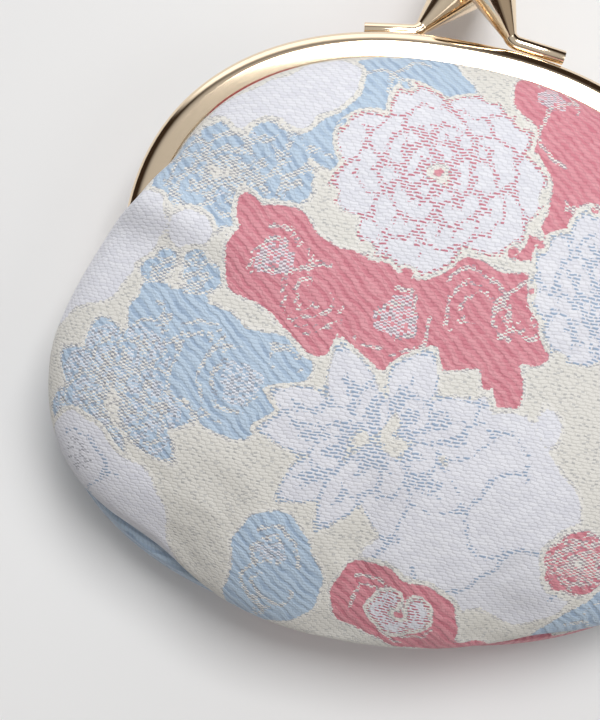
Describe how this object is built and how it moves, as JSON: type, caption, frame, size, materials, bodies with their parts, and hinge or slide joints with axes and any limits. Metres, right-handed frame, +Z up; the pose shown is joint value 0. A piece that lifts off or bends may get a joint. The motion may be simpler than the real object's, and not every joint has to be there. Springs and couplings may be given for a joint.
{
  "type": "kiss-lock coin purse",
  "caption": "Small soft coin purse of patterned cloth on a hinged comb-shaped metal frame, closed by two crossing beads on flaring stems.",
  "frame": {"origin": "on the surface that the purse lies on, under the middle of its bounding box", "axes": "+X to the purse's right along the hinge axis, +Y towards the clasp, +Z up out of the front panel"},
  "size_m": [0.116, 0.1182, 0.036],
  "materials": {
    "gold_plate": "polished pale gold plating",
    "jacquard_cloth": "jacquard weave with blossoms, leaves and rounded shapes in light blue, rose pink and white on a pale greige ground, slight satin sheen",
    "wadding": "soft needled wadding",
    "lining_cloth": "plain cotton, matt",
    "paper_cord": "twisted kraft paper"
  },
  "bodies": {
    "rear_half": {"rear_frame": "gold_plate", "rear_clasp": "gold_plate", "left_hinge_rivet": "gold_plate", "right_hinge_rivet": "gold_plate", "rear_paper_cord": "paper_cord", "rear_panel": "jacquard_cloth", "front_panel_fold": "jacquard_cloth", "front_panel_pouch": "jacquard_cloth", "rear_wadding": "wadding", "front_wadding_fold": "wadding", "front_wadding_pouch": "wadding", "rear_lining": "lining_cloth", "front_lining_fold": "lining_cloth", "front_lining_pouch": "lining_cloth"},
    "front_half": {"front_frame": "gold_plate", "front_clasp": "gold_plate", "front_paper_cord": "paper_cord", "front_panel_mouth": "jacquard_cloth", "front_wadding_mouth": "wadding", "front_lining_mouth": "lining_cloth"}
  },
  "joints": [
    {"name": "frame_hinge", "type": "hinge", "parent": "rear_half", "child": "front_half", "pos_m": [0, 0.00111, 0.017], "axis": [1, 0, 0], "range_deg": [0, 80], "deforming": ["front_panel_fold", "front_wadding_fold", "front_lining_fold"]}
  ]
}
